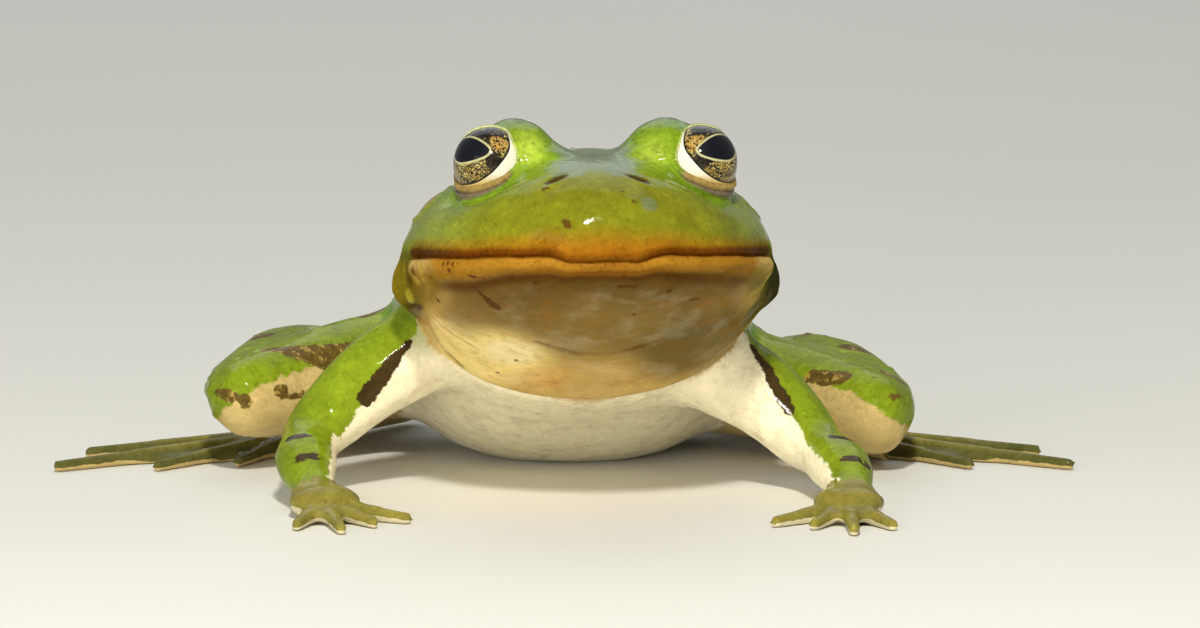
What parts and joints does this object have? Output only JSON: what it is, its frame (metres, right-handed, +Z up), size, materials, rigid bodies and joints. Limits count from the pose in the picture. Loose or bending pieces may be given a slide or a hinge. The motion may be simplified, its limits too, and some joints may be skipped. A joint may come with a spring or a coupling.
{
  "type": "green water frog",
  "caption": "Life-size green water frog that sits with its head raised, arms spread and hind legs folded; a still museum-style model.",
  "frame": {"origin": "centre of the frog's bounding box, on the surface it sits on", "axes": "+Z up, -Y the way the frog looks, -X the frog's right"},
  "size_m": [0.1228, 0.1032, 0.046],
  "materials": {
    "skin": "smooth wet skin, green above and cream below, with dark patches",
    "eye": "clear wet eyeball with a gold and black iris",
    "eardrum": "thin taut brown-green skin"
  },
  "bodies": {
    "root": {"head": "skin", "lower_jaw": "skin", "trunk": "skin", "eye_right": "eye", "eye_left": "eye", "eardrum_right": "eardrum", "eardrum_left": "eardrum", "upper_arm_right": "skin", "upper_arm_left": "skin", "forearm_right": "skin", "forearm_left": "skin", "hand_right": "skin", "hand_left": "skin", "thigh_right": "skin", "thigh_left": "skin", "shank_right": "skin", "shank_left": "skin", "foot_right": "skin", "foot_left": "skin"}
  },
  "joints": []
}
